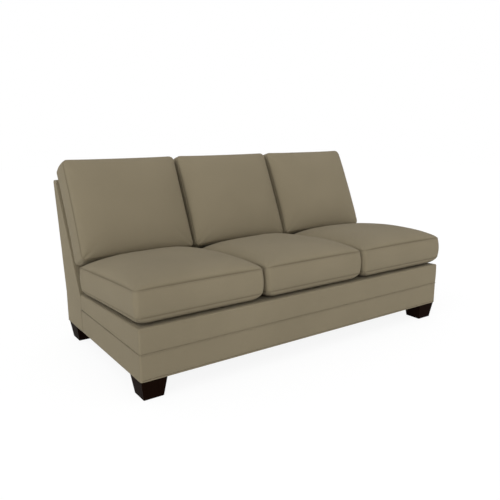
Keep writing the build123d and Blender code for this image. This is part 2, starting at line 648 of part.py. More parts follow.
# ---- the whole sofa ----
def sofa():
    """Every node of the sofa by name."""
    holes = dowels(FIT_EASE)
    nodes = seat_rails(holes)
    nodes.update(back_timber(holes, nodes["frame_rear_rail"]))
    nodes["frame_dowels"] = dowels()
    nodes["frame_corner_blocks"], nodes["leg_hanger_bolts"], nodes["leg_tee_nuts"] = leg_fixings()
    for name, x, y, _, _ in leg_places():
        nodes["leg_" + name] = Pos(x, y, 0) * leg()
    nodes["seat_springs"], nodes["spring_clips"], nodes["spring_tie_wires"] = springs_and_clips()
    nodes.update(base_layers())
    nodes["base_welt"] = base_welt()
    nodes["base_front_hem"], nodes["dust_cover"], nodes["dust_cover_staples"] = base_trim()
    nodes.update(back_layers())
    for name, place in SEATS.items():
        for kind, make in (("seat", seat_cushion), ("back", back_cushion)):
            cover, core, zipper = make(place)
            nodes[f"{kind}_cushion_cover_{name}"] = cover
            nodes[f"{kind}_cushion_core_{name}"] = core
            nodes[f"{kind}_cushion_zip_{name}"] = zipper
    return nodes


os.makedirs("parts", exist_ok=True)
for node, pieces in sofa().items():
    if not isinstance(pieces, list):
        pieces = [pieces]
    solids = [TO_ORIGIN * solid for piece in pieces for solid in piece.solids()]
    export_step(Compound(children=solids), f"parts/{node}.step")
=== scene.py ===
import bmesh
import bpy
from math import cos, exp, hypot, pi, radians, sin, sqrt, tan
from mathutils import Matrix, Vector, noise


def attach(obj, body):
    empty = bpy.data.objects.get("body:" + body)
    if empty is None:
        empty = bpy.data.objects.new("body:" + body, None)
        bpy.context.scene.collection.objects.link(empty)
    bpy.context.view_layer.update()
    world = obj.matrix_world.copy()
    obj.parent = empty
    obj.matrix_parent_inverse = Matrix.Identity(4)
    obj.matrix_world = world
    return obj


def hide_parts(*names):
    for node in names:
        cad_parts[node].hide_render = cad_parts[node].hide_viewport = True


# Three-seat armless sofa in a taupe plain weave, on four dark tapered legs. Metres, in the
# frame's own axes: +X to the right, +Z up, the front faces -Y, the floor is at zero.
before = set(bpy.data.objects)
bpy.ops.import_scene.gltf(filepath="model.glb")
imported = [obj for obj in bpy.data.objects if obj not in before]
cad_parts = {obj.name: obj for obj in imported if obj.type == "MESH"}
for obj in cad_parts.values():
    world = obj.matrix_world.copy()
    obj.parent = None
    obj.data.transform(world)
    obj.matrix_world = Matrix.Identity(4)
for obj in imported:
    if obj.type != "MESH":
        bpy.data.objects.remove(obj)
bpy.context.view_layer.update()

# ---- The view: a camera about a metre up, turned in from the sofa's left, in a plain white
# room. The floor and the surround look white to the camera, and the light is soft and even.
scene = bpy.context.scene
camera_data = bpy.data.cameras.new("camera")
camera_data.lens = 40
camera_data.sensor_width = 36
camera = bpy.data.objects.new("camera", camera_data)
camera.location = (-1.679, -2.344, 1.050)
camera.rotation_euler = (radians(90 - 12.54), 0, radians(-35.03))
scene.collection.objects.link(camera)
scene.camera = camera
scene.view_settings.view_transform = "Standard"

ROOM_LIGHT = 0.64
FLOOR_WHITE = 0.93
FLOOR_GLOW = 1.05
FLOOR_SHADOW = 0.15
FLOOR_REACH = 12.0
LAMP_SPREAD = radians(70)


def shows_white(tree):
    """Light Path rays on which the surround shows plain white, as one 0 to 1 value."""
    path = tree.nodes.new("ShaderNodeLightPath")
    either = tree.nodes.new("ShaderNodeMath")
    either.operation = "MAXIMUM"
    tree.links.new(path.outputs["Is Camera Ray"], either.inputs[0])
    tree.links.new(path.outputs["Is Glossy Ray"], either.inputs[1])
    every = tree.nodes.new("ShaderNodeMath")
    every.operation = "MAXIMUM"
    tree.links.new(either.outputs[0], every.inputs[0])
    tree.links.new(path.outputs["Is Transmission Ray"], every.inputs[1])
    return every.outputs[0]


world = bpy.data.worlds.new("room")
scene.world = world
world.use_nodes = True
room = world.node_tree
room.nodes.clear()
lit = room.nodes.new("ShaderNodeBackground")
lit.inputs["Color"].default_value = (1, 1, 1, 1)
lit.inputs["Strength"].default_value = ROOM_LIGHT
seen = room.nodes.new("ShaderNodeBackground")
seen.inputs["Color"].default_value = (1, 1, 1, 1)
seen.inputs["Strength"].default_value = 1.0
mix = room.nodes.new("ShaderNodeMixShader")
room.links.new(shows_white(room), mix.inputs[0])
room.links.new(lit.outputs[0], mix.inputs[1])
room.links.new(seen.outputs[0], mix.inputs[2])
out = room.nodes.new("ShaderNodeOutputWorld")
room.links.new(mix.outputs[0], out.inputs["Surface"])

paper = bpy.data.materials.new("white_floor")
paper.use_nodes = True
tree = paper.node_tree
tree.nodes.clear()
matte = tree.nodes.new("ShaderNodeBsdfDiffuse")
matte.inputs["Color"].default_value = (FLOOR_WHITE, FLOOR_WHITE, FLOOR_WHITE, 1)
bright = tree.nodes.new("ShaderNodeEmission")
bright.inputs["Color"].default_value = (1, 1, 1, 1)
bright.inputs["Strength"].default_value = FLOOR_GLOW
weight = tree.nodes.new("ShaderNodeMath")
weight.operation = "MULTIPLY"
weight.inputs[1].default_value = 1 - FLOOR_SHADOW
tree.links.new(shows_white(tree), weight.inputs[0])
mix = tree.nodes.new("ShaderNodeMixShader")
tree.links.new(weight.outputs[0], mix.inputs[0])
tree.links.new(matte.outputs[0], mix.inputs[1])
tree.links.new(bright.outputs[0], mix.inputs[2])
out = tree.nodes.new("ShaderNodeOutputMaterial")
tree.links.new(mix.outputs[0], out.inputs["Surface"])

bm = bmesh.new()
bmesh.ops.create_grid(bm, x_segments=1, y_segments=1, size=FLOOR_REACH)
floor_mesh = bpy.data.meshes.new("floor")
bm.to_mesh(floor_mesh)
bm.free()
floor_mesh.materials.append(paper)
floor = bpy.data.objects.new("floor", floor_mesh)
scene.collection.objects.link(floor)

for name, turn, strength, colour in (
    ("window", (radians(60), 0, radians(-64)), 1.22, (0.94, 0.97, 1.0)),
    ("front_fill", (radians(84), 0, radians(12)), 0.60, (1.0, 1.0, 1.0)),
):
    lamp = bpy.data.lights.new(name, "SUN")
    lamp.color = colour
    lamp.energy = strength
    lamp.angle = LAMP_SPREAD
    lamp_object = bpy.data.objects.new(name, lamp)
    lamp_object.rotation_euler = turn
    scene.collection.objects.link(lamp_object)

# ---- Inner frame: hardwood rails, posts and blocks, joined with dowels. It is
# hidden under the upholstery, so the CAD pieces stay, in sawn pale timber.
FRAME_LIGHT = (0.56, 0.38, 0.21)
FRAME_DARK = (0.38, 0.23, 0.11)
GRAIN_ALONG_X = (9, 160, 160)
GRAIN_ALONG_Y = (160, 9, 160)
GRAIN_ALONG_Z = (160, 160, 9)
SAWN_ROUGHNESS = 0.75
SAWN_RELIEF = 0.0004
PORES_ABOVE = 0.62
PORE_DARKNESS = 0.5


def node_group(name, inputs, outputs):
    """An empty shader group with float, vector and colour sockets, and its two end nodes."""
    made = bpy.data.node_groups.new(name, "ShaderNodeTree")
    kinds = {"value": "NodeSocketFloat", "vector": "NodeSocketVector", "colour": "NodeSocketColor"}
    for label, kind in inputs:
        made.interface.new_socket(label, in_out="INPUT", socket_type=kinds[kind])
    for label, kind in outputs:
        made.interface.new_socket(label, in_out="OUTPUT", socket_type=kinds[kind])
    return made, made.nodes.new("NodeGroupInput"), made.nodes.new("NodeGroupOutput")


def maths(tree, operation, *values, clamp=False):
    """A Math node whose values are numbers or other nodes' sockets. Gives its output."""
    node = tree.nodes.new("ShaderNodeMath")
    node.operation = operation
    node.use_clamp = clamp
    for index, value in enumerate(values):
        if isinstance(value, (int, float)):
            node.inputs[index].default_value = value
        else:
            tree.links.new(value, node.inputs[index])
    return node.outputs[0]


def blended(tree, amount, low, high):
    """A colour between low and high, each a colour or a socket, by amount."""
    node = tree.nodes.new("ShaderNodeMix")
    node.data_type = "RGBA"
    tree.links.new(amount, node.inputs["Factor"])
    for socket, value in (("A", low), ("B", high)):
        target = [s for s in node.inputs if s.name == socket and s.type == "RGBA"][0]
        if isinstance(value, tuple):
            target.default_value = (*value, 1)
        else:
            tree.links.new(value, target)
    return [s for s in node.outputs if s.type == "RGBA"][0]


def cloud(tree, vector, scale, detail=2.0, rough=0.5):
    """A Noise Texture value on the given coordinates."""
    node = tree.nodes.new("ShaderNodeTexNoise")
    node.inputs["Scale"].default_value = scale
    node.inputs["Detail"].default_value = detail
    node.inputs["Roughness"].default_value = rough
    tree.links.new(vector, node.inputs["Vector"])
    return node.outputs["Fac"]


def placed_group(tree, group, **values):
    """A group node with its named inputs set to numbers or linked to sockets."""
    node = tree.nodes.new("ShaderNodeGroup")
    node.node_tree = group
    for label, value in values.items():
        if isinstance(value, (int, float, tuple)):
            node.inputs[label].default_value = value
        else:
            tree.links.new(value, node.inputs[label])
    return node


def plain_material(name, roughness, metallic=0.0):
    """A material with a Principled shader. Gives the material, its tree and that shader."""
    made = bpy.data.materials.new(name)
    made.use_nodes = True
    tree = made.node_tree
    shader = tree.nodes["Principled BSDF"]
    shader.inputs["Roughness"].default_value = roughness
    shader.inputs["Metallic"].default_value = metallic
    return made, tree, shader


def bumped(tree, shader, height, distance, strength=1.0):
    """Feeds a height through a Bump node into the shader's normal."""
    node = tree.nodes.new("ShaderNodeBump")
    node.inputs["Strength"].default_value = strength
    node.inputs["Distance"].default_value = distance
    tree.links.new(height, node.inputs["Height"])
    tree.links.new(node.outputs["Normal"], shader.inputs["Normal"])


def object_coordinates(tree):
    return tree.nodes.new("ShaderNodeTexCoord").outputs["Object"]


def stretched(tree, vector, scale):
    node = tree.nodes.new("ShaderNodeMapping")
    node.inputs["Scale"].default_value = scale
    tree.links.new(vector, node.inputs["Vector"])
    return node.outputs["Vector"]


wood_grain, group_in, group_out = node_group(
    "wood_grain", [("Vector", "vector")], [("Grain", "value"), ("Pores", "value")]
)
long_grain = cloud(wood_grain, group_in.outputs["Vector"], 1.0, 4.0, 0.6)
pores = cloud(wood_grain, group_in.outputs["Vector"], 5.0, 3.0, 0.7)
wood_grain.links.new(long_grain, group_out.inputs["Grain"])
open_pores = maths(wood_grain, "GREATER_THAN", pores, PORES_ABOVE)
wood_grain.links.new(open_pores, group_out.inputs["Pores"])


def timber(name, light, dark, grain, roughness, relief):
    """Timber with its grain along one axis: light and dark bands and open pores."""
    made, tree, shader = plain_material(name, roughness)
    vector = stretched(tree, object_coordinates(tree), grain)
    group = placed_group(tree, wood_grain, Vector=vector)
    colour = blended(tree, group.outputs["Grain"], dark, light)
    pored = maths(tree, "MULTIPLY", group.outputs["Pores"], PORE_DARKNESS)
    colour = blended(tree, pored, colour, dark)
    tree.links.new(colour, shader.inputs["Base Color"])
    height = maths(tree, "SUBTRACT", group.outputs["Grain"], group.outputs["Pores"])
    bumped(tree, shader, height, relief)
    return made


def finish_nodes(material, *nodes):
    """Gives CAD pieces that stay as they are their material."""
    for name in nodes:
        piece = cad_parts[name]
        piece.data.materials.clear()
        piece.data.materials.append(material)


for name, grain, nodes in (
    ("sawn_timber_across", GRAIN_ALONG_X, (
        "frame_front_rail", "frame_spring_rail", "frame_rear_rail",
        "back_top_rail", "back_lower_rail", "frame_corner_blocks", "frame_dowels",
    )),
    ("sawn_timber_deep", GRAIN_ALONG_Y, (
        "frame_side_rail_left", "frame_side_rail_right", "frame_cross_members",
    )),
    ("sawn_timber_upright", GRAIN_ALONG_Z, (
        "back_post_left", "back_post_right", "back_inner_posts",
    )),
):
    wood = timber(name, FRAME_LIGHT, FRAME_DARK, grain, SAWN_ROUGHNESS, SAWN_RELIEF)
    finish_nodes(wood, *nodes)

# ---- Seat springs, clips, tie wires and leg fixings: sinuous springs in dark drawn steel,
# and bolts, tee nuts and staples in bright zinc-plated steel.
STEEL_RELIEF = 0.00005


def steel(name, light, dark, roughness):
    """Drawn or plated steel with a mottled surface."""
    made, tree, shader = plain_material(name, roughness, 1.0)
    patches = cloud(tree, object_coordinates(tree), 90.0, 3.0)
    tree.links.new(blended(tree, patches, dark, light), shader.inputs["Base Color"])
    bumped(tree, shader, cloud(tree, object_coordinates(tree), 900.0), STEEL_RELIEF)
    return made


finish_nodes(
    steel("drawn_spring_steel", (0.34, 0.34, 0.35), (0.2, 0.2, 0.21), 0.42),
    "seat_springs", "spring_clips", "spring_tie_wires",
)
finish_nodes(
    steel("zinc_plated_steel", (0.68, 0.68, 0.66), (0.5, 0.5, 0.5), 0.32),
    "leg_hanger_bolts", "leg_tee_nuts", "dust_cover_staples",
)

# ---- Hidden soft layers: jute webbing on the back, felt over the springs, polyester batting,
# foam, fibreboard behind the outside cover, and a black nonwoven dust cover underneath.
fibre_mat, group_in, group_out = node_group(
    "fibre_mat", [("Vector", "vector"), ("Scale", "value")], [("Fibres", "value")]
)
fine = fibre_mat.nodes.new("ShaderNodeTexNoise")
fine.inputs["Detail"].default_value = 4.0
fine.inputs["Distortion"].default_value = 1.5
fibre_mat.links.new(group_in.outputs["Vector"], fine.inputs["Vector"])
fibre_mat.links.new(group_in.outputs["Scale"], fine.inputs["Scale"])
fibre_mat.links.new(fine.outputs["Fac"], group_out.inputs["Fibres"])


def fibrous(name, light, dark, scale, relief):
    """A nonwoven or foamed sheet: matted fibres or cells of one size."""
    made, tree, shader = plain_material(name, 0.95)
    mat = placed_group(tree, fibre_mat, Vector=object_coordinates(tree), Scale=scale)
    tree.links.new(blended(tree, mat.outputs["Fibres"], dark, light), shader.inputs["Base Color"])
    bumped(tree, shader, mat.outputs["Fibres"], relief)
    return made


for name, light, dark, scale, relief, nodes in (
    ("jute_webbing", (0.5, 0.37, 0.23), (0.3, 0.2, 0.11), 420.0, 0.0006, ("back_webbing",)),
    ("wool_felt", (0.33, 0.32, 0.31), (0.2, 0.195, 0.19), 300.0, 0.0008, ("deck_insulator",)),
    ("polyester_batting", (0.88, 0.87, 0.83), (0.7, 0.69, 0.65), 120.0, 0.002,
     ("base_batting", "back_batting")),
    ("seat_foam", (0.84, 0.8, 0.66), (0.72, 0.67, 0.52), 500.0, 0.0006,
     ("front_edge_roll", "deck_pad")),
    ("fibreboard", (0.48, 0.36, 0.23), (0.36, 0.26, 0.16), 260.0, 0.0003,
     ("outside_back_board",)),
    ("nonwoven_dust_cover", (0.03, 0.03, 0.03), (0.012, 0.012, 0.012), 600.0, 0.0003,
     ("dust_cover",)),
):
    finish_nodes(fibrous(name, light, dark, scale, relief), *nodes)

# ---- Legs: four square tapered feet in solid hardwood, stained espresso and lacquered to a
# soft satin. Each is turned onto a hanger bolt, and the CAD pieces stay.
LEG_STAIN_LIGHT = (0.0100, 0.0042, 0.0022)
LEG_STAIN_DARK = (0.0052, 0.0018, 0.0008)
LEG_ROUGHNESS = 0.5
LEG_RELIEF = 0.00012
espresso = timber(
    "espresso_stained_wood", LEG_STAIN_LIGHT, LEG_STAIN_DARK, GRAIN_ALONG_Z,
    LEG_ROUGHNESS, LEG_RELIEF,
)
espresso_shader = espresso.node_tree.nodes["Principled BSDF"]
espresso_shader.inputs["Specular IOR Level"].default_value = 0.1
espresso_shader.inputs["IOR"].default_value = 1.12
finish_nodes(espresso, "leg_front_left", "leg_front_right", "leg_rear_left", "leg_rear_right")

# ---- Cover cloth: a taupe plain weave of thick slubby yarn, matt with a slight bloom. The
# weave follows each piece's own flat pattern, one UV unit to the metre.
COVER_WARP = (0.292, 0.246, 0.164)
COVER_WEFT = (0.234, 0.195, 0.126)
COVER_GAP = (0.122, 0.098, 0.060)
# How far the cover is darkened towards the gap colour along its seams: painted shade for the
# creased cloth there.
SEAM_PAINTED_SHADE = 0.85
YARN = 0.0013
YARN_WANDER = 0.9
WEAVE_RELIEF = 0.00035
GAP_SHADE = 0.8
FLECK_SHADE = 0.5
WORN_SHADE = 0.3
WORN_LIGHTER = 1.22

plain_weave, group_in, group_out = node_group(
    "plain_weave",
    [("Vector", "vector"), ("Yarn", "value")],
    [("Height", "value"), ("Warp", "value"), ("Gap", "value")],
)
wander = plain_weave.nodes.new("ShaderNodeTexNoise")
wander.inputs["Scale"].default_value = 55.0
plain_weave.links.new(group_in.outputs["Vector"], wander.inputs["Vector"])
split = plain_weave.nodes.new("ShaderNodeSeparateXYZ")
plain_weave.links.new(group_in.outputs["Vector"], split.inputs[0])
waves = []
for axis in (0, 1):
    drift = maths(plain_weave, "MULTIPLY", wander.outputs["Fac"], YARN_WANDER)
    count = maths(plain_weave, "DIVIDE", split.outputs[axis], group_in.outputs["Yarn"])
    turns = maths(plain_weave, "MULTIPLY", maths(plain_weave, "ADD", count, drift), pi)
    waves.append(maths(plain_weave, "SINE", turns))
over = maths(plain_weave, "MULTIPLY", waves[0], waves[1])
on_top = maths(plain_weave, "MULTIPLY_ADD", over, 2.5, 0.5, clamp=True)
rounds = [maths(plain_weave, "ABSOLUTE", wave) for wave in waves]
warp_part = maths(plain_weave, "MULTIPLY", rounds[0], on_top)
beneath = maths(plain_weave, "SUBTRACT", 1.0, on_top)
weft_part = maths(plain_weave, "MULTIPLY", rounds[1], beneath)
height = maths(plain_weave, "ADD", warp_part, weft_part)
gap = maths(plain_weave, "SUBTRACT", 1.0, maths(plain_weave, "MAXIMUM", *rounds), clamp=True)
plain_weave.links.new(height, group_out.inputs["Height"])
plain_weave.links.new(on_top, group_out.inputs["Warp"])
plain_weave.links.new(gap, group_out.inputs["Gap"])

slubs, group_in, group_out = node_group("slubs", [("Vector", "vector")], [("Fleck", "value")])
along = cloud(slubs, stretched(slubs, group_in.outputs["Vector"], (60, 900, 60)), 1.0, 2.0)
cross = cloud(slubs, stretched(slubs, group_in.outputs["Vector"], (900, 60, 60)), 1.0, 2.0)
slubs.links.new(maths(slubs, "MULTIPLY", along, cross), group_out.inputs["Fleck"])


def woven(name, warp, weft, gap, yarn, relief):
    """Plain-woven upholstery cloth."""
    made, tree, shader = plain_material(name, 0.92)
    shader.inputs["Sheen Weight"].default_value = 0.04
    shader.inputs["Sheen Roughness"].default_value = 0.5
    shader.inputs["Specular IOR Level"].default_value = 0.12
    flat = tree.nodes.new("ShaderNodeTexCoord").outputs["UV"]
    weave = placed_group(tree, plain_weave, Vector=flat, Yarn=yarn)
    fleck = placed_group(tree, slubs, Vector=flat).outputs["Fleck"]
    colour = blended(tree, weave.outputs["Warp"], weft, warp)
    colour = blended(tree, maths(tree, "MULTIPLY", weave.outputs["Gap"], GAP_SHADE), colour, gap)
    strong = maths(tree, "MULTIPLY_ADD", fleck, 3.2, -0.45, clamp=True)
    colour = blended(tree, maths(tree, "MULTIPLY", strong, FLECK_SHADE), colour, weft)
    worn = cloud(tree, object_coordinates(tree), 3.5, 3.0)
    lighter = tuple(min(1, value * WORN_LIGHTER) for value in warp)
    worn = maths(tree, "MULTIPLY_ADD", worn, 1.4, -0.5, clamp=True)
    colour = blended(tree, maths(tree, "MULTIPLY", worn, WORN_SHADE), colour, lighter)
    # Painted shade: near each seam the colour is pulled towards the dark gap colour, standing in
    # for the shade in the creased cloth.
    sewn = tree.nodes.new("ShaderNodeAttribute")
    sewn.attribute_name = "seam"
    colour = blended(tree, maths(tree, "MULTIPLY", sewn.outputs["Fac"], SEAM_PAINTED_SHADE), colour, gap)
    tree.links.new(colour, shader.inputs["Base Color"])
    height = maths(tree, "MULTIPLY_ADD", fleck, 0.8, weave.outputs["Height"])
    bumped(tree, shader, height, relief)
    return made


cover_cloth = woven("taupe_woven_cover", COVER_WARP, COVER_WEFT, COVER_GAP, YARN, WEAVE_RELIEF)

# ---- Base covers: upper and lower panels of the cover cloth, pulled tight over the batted
# rails and sewn to a corded seam round the front and sides. The upper ones turn over onto
# the deck.
HALF = 0.890
FRONT = -0.488065
BOTTOM = 0.085
SEAM = 0.197
TOP = 0.304
DECK_FALL = radians(2.7)
DECK_SLOPE = tan(DECK_FALL)
BACK_START = FRONT + 0.669
EDGE = 0.008
FRONT_RETURN = 0.100
SIDE_RETURN = 0.030
LAP = 0.010
UNDER_RETURN = 0.0215
UNDER_EDGE = 0.0012
SEAM_TUCK = 0.0012
TUCK_FADE = 0.0035
SEAM_CREASE = 0.0011
GATHER = 0.0005
GATHER_FADE = 0.035
GATHERS_PER_METRE = 38
END_PULL = 0.8
FRONT_BELLY = 0.0012
SIDE_BELLY = 0.001
OVERLAP = 0.001
CLOTH = 0.0015
WELT = 0.002
WELT_PROUD = 0.0005
UPPER_RISE = TOP - EDGE - SEAM - WELT / 2
CORNER_ARC = EDGE * pi / 2
UNDER = UNDER_RETURN - UNDER_EDGE
UNDER_ARC = UNDER_EDGE * pi / 2
LOWER_LENGTH = UNDER + UNDER_ARC + SEAM - WELT / 2 - BOTTOM - UNDER_EDGE
FRONT_PATH = 2 * (HALF - EDGE) + 2 * CORNER_ARC
NEAR_SEAM = 0.006


def deck_level(y):
    return TOP - (y - FRONT) * DECK_SLOPE


def to_piece(bm, name, material):
    """Turns a bmesh into an object at the origin with one material."""
    mesh = bpy.data.meshes.new(name)
    for face in bm.faces:
        face.smooth = True
    bm.to_mesh(mesh)
    bm.free()
    mesh.materials.append(material)
    piece = bpy.data.objects.new(name, mesh)
    scene.collection.objects.link(piece)
    return piece


def cloth_panel(name, columns, rows, place, thickness=CLOTH, material=None):
    """A panel of cloth from a grid. place(s, t) gives a point, its flat pattern place and how
    near it is to a seam, from 0 to 1; s runs to the right and t upwards from outside."""
    bm = bmesh.new()
    bmesh.ops.create_grid(bm, x_segments=columns, y_segments=rows, size=1)
    sewn = bm.verts.layers.float.new("seam")
    flat = {}
    for vert in bm.verts:
        point, flat[vert], near = place((vert.co.x + 1) / 2, (vert.co.y + 1) / 2)
        vert.co = point
        vert[sewn] = near
    layer = bm.loops.layers.uv.new("UVMap")
    for face in bm.faces:
        for loop in face.loops:
            loop[layer].uv = flat[loop.vert]
    bmesh.ops.remove_doubles(bm, verts=bm.verts, dist=0.00002)
    piece = to_piece(bm, name, material or cover_cloth)
    wall = piece.modifiers.new("thickness", "SOLIDIFY")
    wall.thickness = thickness
    wall.offset = -1
    return piece


def by_stations(stations, share):
    """Takes the row or column at a share of the way through a list of lengths."""
    return stations[round(share * (len(stations) - 1))]


def spaced(*runs):
    """Lengths along joined runs, each given as its length and number of steps."""
    stations = [0.0]
    for length, steps in runs:
        start = stations[-1]
        stations += [start + length * step / steps for step in range(1, steps + 1)]
    return stations


def eased(share):
    """Spreads rows or columns so that they crowd at both ends."""
    return (1 - cos(pi * share)) / 2


def pull(point, seam_distance):
    """How far tight cloth lies under its true line close to a seam, with small gathers."""
    gather = noise.noise(Vector(point) * GATHERS_PER_METRE) * GATHER
    gather *= exp(-seam_distance / GATHER_FADE)
    return SEAM_TUCK * exp(-seam_distance / TUCK_FADE) - gather


def near_seam(distance):
    """1 on a seam, where the cover gets painted shade for its creased cloth, falling to 0 a few
    millimetres away.
    """
    return exp(-max(0.0, distance) / SEAM_CREASE)


def upper_profile(length):
    """Distance in from the face, height and tilt, at a length up from the corded seam."""
    if length <= UPPER_RISE:
        return 0.0, SEAM + WELT / 2 + length, 0.0
    if length <= UPPER_RISE + CORNER_ARC:
        angle = (length - UPPER_RISE) / EDGE
        return EDGE * (1 - cos(angle)), TOP - EDGE + EDGE * sin(angle), angle
    return EDGE + (length - UPPER_RISE - CORNER_ARC), TOP, pi / 2


def lower_profile(length):
    """The same from under the rail up to the corded seam."""
    if length <= UNDER:
        return UNDER_RETURN - length, BOTTOM, -pi / 2
    if length <= UNDER + UNDER_ARC:
        angle = (length - UNDER) / UNDER_EDGE
        height = BOTTOM + UNDER_EDGE * (1 - cos(angle))
        return UNDER_EDGE * (1 - sin(angle)), height, angle - pi / 2
    return 0.0, BOTTOM + UNDER_EDGE + length - UNDER - UNDER_ARC, 0.0


FRONT_COLUMNS = spaced((CORNER_ARC, 8), (2 * (HALF - EDGE), 220), (CORNER_ARC, 8))
LOWER_ROWS = spaced(
    (UNDER, 3), (UNDER_ARC, 3), (LOWER_LENGTH - UNDER - UNDER_ARC - NEAR_SEAM, 14), (NEAR_SEAM, 6)
)
SIDE_UPPER_ROWS = spaced(
    (NEAR_SEAM, 5), (UPPER_RISE - NEAR_SEAM, 9), (CORNER_ARC, 6), (SIDE_RETURN - EDGE, 6)
)
FRONT_UPPER_ROWS = spaced(
    (NEAR_SEAM, 6), (UPPER_RISE - NEAR_SEAM, 12), (CORNER_ARC, 6), (FRONT_RETURN - EDGE, 10)
)


def front_plan(along):
    """Place on the line between the two corner arcs' centres and its outward direction, from
    the left corner round to the right one."""
    if along < CORNER_ARC:
        angle = pi - along / EDGE
        return -HALF + EDGE, cos(angle), -sin(angle)
    if along > FRONT_PATH - CORNER_ARC:
        angle = (FRONT_PATH - along) / EDGE
        return HALF - EDGE, cos(angle), -sin(angle)
    return along - CORNER_ARC - HALF + EDGE, 0.0, -1.0


def front_point(along, inset, z, tilt, seam_distance):
    """A point of a front panel, at a distance in from its face, with its seam pull."""
    x, out_x, out_y = front_plan(along)
    y = FRONT + EDGE
    sunk = pull((x, z, 0), seam_distance)
    out_from = EDGE - inset - sunk * cos(tilt)
    if inset > EDGE:
        y += inset - EDGE
        out_from = 0.0
    level = z if tilt < pi / 4 else z - (y + out_y * out_from - FRONT) * DECK_SLOPE
    return (x + out_x * out_from, y + out_y * out_from, level - sunk * sin(tilt))


def front_upper(s, t):
    along = by_stations(FRONT_COLUMNS, s)
    length = by_stations(FRONT_UPPER_ROWS, t)
    inset, z, tilt = upper_profile(length)
    belly = FRONT_BELLY * sin(pi * min(1, length / UPPER_RISE)) * (tilt == 0)
    point = front_point(along, inset - belly, z, tilt, length)
    return point, (along, length), near_seam(length)


def front_lower(s, t):
    along = by_stations(FRONT_COLUMNS, s)
    length = by_stations(LOWER_ROWS, t)
    inset, z, tilt = lower_profile(length)
    point = front_point(along, inset, z, min(tilt, 0.0), LOWER_LENGTH - length)
    return point, (along, length - LOWER_LENGTH), near_seam(LOWER_LENGTH - length)


def side_upper(side):
    """Upper side panel, from the corner back to the back's side cover."""
    def place(s, t):
        back_share = 1 - s if side < 0 else s
        y = FRONT + EDGE + (BACK_START - FRONT - EDGE) * eased(back_share)
        open_deck = min(1, max(0, (y - FRONT - FRONT_RETURN + 2 * LAP) / LAP))
        top_fall = (y - FRONT) * DECK_SLOPE
        length = by_stations(SIDE_UPPER_ROWS, t)
        turned = max(0.0, length - UPPER_RISE - CORNER_ARC)
        length -= turned * (1 - open_deck)
        inset, z, tilt = upper_profile(length)
        z -= top_fall * min(1, max(0, (z - SEAM) / (TOP - EDGE - SEAM)))
        z -= CLOTH / 3 * (y < FRONT + FRONT_RETURN and inset > EDGE)
        ends = min(y - FRONT - EDGE, BACK_START - y)
        sunk = pull((y, z, 1), length) + END_PULL * pull((y, z, 2), ends)
        belly = SIDE_BELLY * sin(pi * min(1, length / UPPER_RISE)) * (tilt == 0)
        inset += (sunk - belly) * cos(tilt)
        near = near_seam(min(length, ends))
        return (side * (HALF - inset), y, z - sunk * sin(tilt)), (side * y, length), near
    return place


def side_lower(side):
    """Lower side panel, turned under the rail."""
    def place(s, t):
        back_share = 1 - s if side < 0 else s
        y = FRONT + EDGE + (BACK_START - FRONT - EDGE) * eased(back_share)
        length = by_stations(LOWER_ROWS, t)
        inset, z, tilt = lower_profile(length)
        ends = min(y - FRONT - EDGE, BACK_START - y)
        sunk = pull((y, z, 3), LOWER_LENGTH - length) + END_PULL * pull((y, z, 2), ends)
        point = (side * (HALF - inset - sunk * (tilt == 0)), y, z)
        near = near_seam(min(LOWER_LENGTH - length, ends))
        return point, (side * y, length - LOWER_LENGTH), near
    return place


def upholstery(piece, *nodes, slot="cover"):
    """Fixed cloth: it rides on the frame and stands for its CAD nodes."""
    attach(piece, "frame")
    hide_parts(*nodes)


def steps(stations):
    return len(stations) - 1


SIDE_STEPS = 80
for part, rows, place in (
    ("upper", FRONT_UPPER_ROWS, front_upper), ("lower", LOWER_ROWS, front_lower),
):
    front = cloth_panel(f"base_front_{part}_cover", steps(FRONT_COLUMNS), steps(rows), place)
    upholstery(front, f"base_front_{part}_panel")
for side, name in ((-1, "left"), (1, "right")):
    for part, rows, place in (
        ("upper", SIDE_UPPER_ROWS, side_upper), ("lower", LOWER_ROWS, side_lower),
    ):
        panel = cloth_panel(
            f"base_side_{part}_cover_{name}", SIDE_STEPS, steps(rows), place(side)
        )
        upholstery(panel, f"base_side_panels_{name}")

HEM_WIDTH = 0.0075
HEM_THICKNESS = 0.0011
HEM_PROUD = 0.0012
HEM_LIFT = 0.0004


def hem_strip(s, t):
    x = (HALF - EDGE) * (2 * s - 1)
    point = (x, FRONT - HEM_PROUD - HEM_LIFT * sin(pi * t), BOTTOM + HEM_LIFT + HEM_WIDTH * t)
    return point, (x, t * HEM_WIDTH), near_seam(HEM_WIDTH * (1 - t))


hem = cloth_panel("base_front_hem_tape", 200, 4, hem_strip, HEM_THICKNESS)
upholstery(hem, "base_front_hem")


def cord(name, runs, radius, closed):
    """Cloth-covered cords of round section along lines of points, as one mesh."""
    line = bpy.data.curves.new(name, "CURVE")
    line.dimensions = "3D"
    line.bevel_depth = radius
    line.bevel_resolution = 2
    line.use_fill_caps = not closed
    for points in runs:
        spline = line.splines.new("POLY")
        spline.points.add(len(points) - 1)
        for place, point in zip(spline.points, points):
            place.co = (*point, 1)
        spline.use_cyclic_u = closed
    maker = bpy.data.objects.new(name + "_line", line)
    scene.collection.objects.link(maker)
    mesh = bpy.data.meshes.new_from_object(maker)
    bpy.data.objects.remove(maker)
    bm = bmesh.new()
    bm.from_mesh(mesh)
    bpy.data.meshes.remove(mesh)
    bmesh.ops.remove_doubles(bm, verts=bm.verts, dist=0.00001)
    bmesh.ops.recalc_face_normals(bm, faces=bm.faces)
    layer = bm.loops.layers.uv.verify()
    for face in bm.faces:
        for loop in face.loops:
            co = loop.vert.co
            loop[layer].uv = (co.x + co.y, co.z + 0.3 * (co.x - co.y))
    return to_piece(bm, name, cover_cloth)


